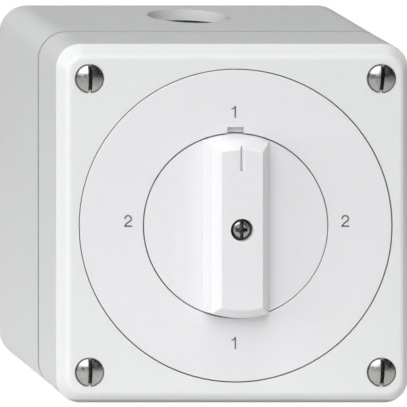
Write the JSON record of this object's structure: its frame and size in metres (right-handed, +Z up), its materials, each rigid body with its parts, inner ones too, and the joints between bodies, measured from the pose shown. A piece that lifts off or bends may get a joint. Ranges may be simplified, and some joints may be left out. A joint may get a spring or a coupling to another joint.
{
  "type": "manual transfer switch",
  "caption": "Surface-mounted manual transfer switch: a square wall box whose bar-grip knob turns endlessly in quarter steps between two supplies.",
  "frame": {"origin": "centre of the flat back face, which lies on the wall", "axes": "+Z up, towards the cable entry; +X to the right for someone facing the switch; the knob looks along -Y and +Y points into the wall"},
  "size_m": [0.0884, 0.0666, 0.09],
  "materials": {
    "shell_white": "fine satin moulding, pure white",
    "insert_white": "smooth satin moulding, pure white",
    "legend_grey": "pad-printed grey",
    "polished_nickel": "nickel-plated, lightly turned",
    "zinc_steel": "zinc-plated",
    "spring_steel": "tempered strip",
    "brass": "turned",
    "silvered_copper": "stamped, silver-plated at the contacts",
    "block_grey": "moulded, glass-filled",
    "cam_ivory": "moulded, self-lubricating",
    "seal_rubber": "moulded elastomer"
  },
  "bodies": {
    "housing": {"base_box": "shell_white", "box_gasket": "seal_rubber", "contact_deck_1": "block_grey", "contact_deck_2": "block_grey", "contact_deck_3": "block_grey", "cover": "shell_white", "cover_screw_inserts": "brass", "cover_screw_seals": "seal_rubber", "cover_screws": "polished_nickel", "detent_housing": "block_grey", "detent_plate": "block_grey", "detent_springs": "spring_steel", "earth_terminal": "brass", "front_plate": "insert_white", "load_contact_1": "silvered_copper", "load_contact_2": "silvered_copper", "load_contact_3": "silvered_copper", "mounting_plate": "zinc_steel", "mounting_screws": "zinc_steel", "neutral_terminal": "brass", "rear_bush": "brass", "shaft_seal": "seal_rubber", "supply_1_contact_1": "silvered_copper", "supply_1_contact_2": "silvered_copper", "supply_1_contact_3": "silvered_copper", "supply_2_contact_1": "silvered_copper", "supply_2_contact_2": "silvered_copper", "supply_2_contact_3": "silvered_copper", "terminal_clamps_1": "brass", "terminal_clamps_2": "brass", "terminal_clamps_3": "brass", "terminal_screws_1": "zinc_steel", "terminal_screws_2": "zinc_steel", "terminal_screws_3": "zinc_steel", "through_terminal_screws": "zinc_steel", "tie_bolts": "zinc_steel", "tie_nuts": "zinc_steel"},
    "rotary_unit": {"knob": "insert_white", "knob_screw": "polished_nickel", "shaft": "zinc_steel", "shaft_clip": "zinc_steel", "detent_cam": "cam_ivory", "rotor_1": "cam_ivory", "contact_bridge_1": "silvered_copper", "rotor_2": "cam_ivory", "contact_bridge_2": "silvered_copper", "rotor_3": "cam_ivory", "contact_bridge_3": "silvered_copper"}
  },
  "joints": [
    {"name": "knob_turn", "type": "hinge", "parent": "housing", "child": "rotary_unit", "pos_m": [0, -0.05, 0], "axis": [0, 1, 0], "continuous": true, "deforming": ["detent_springs"]}
  ]
}
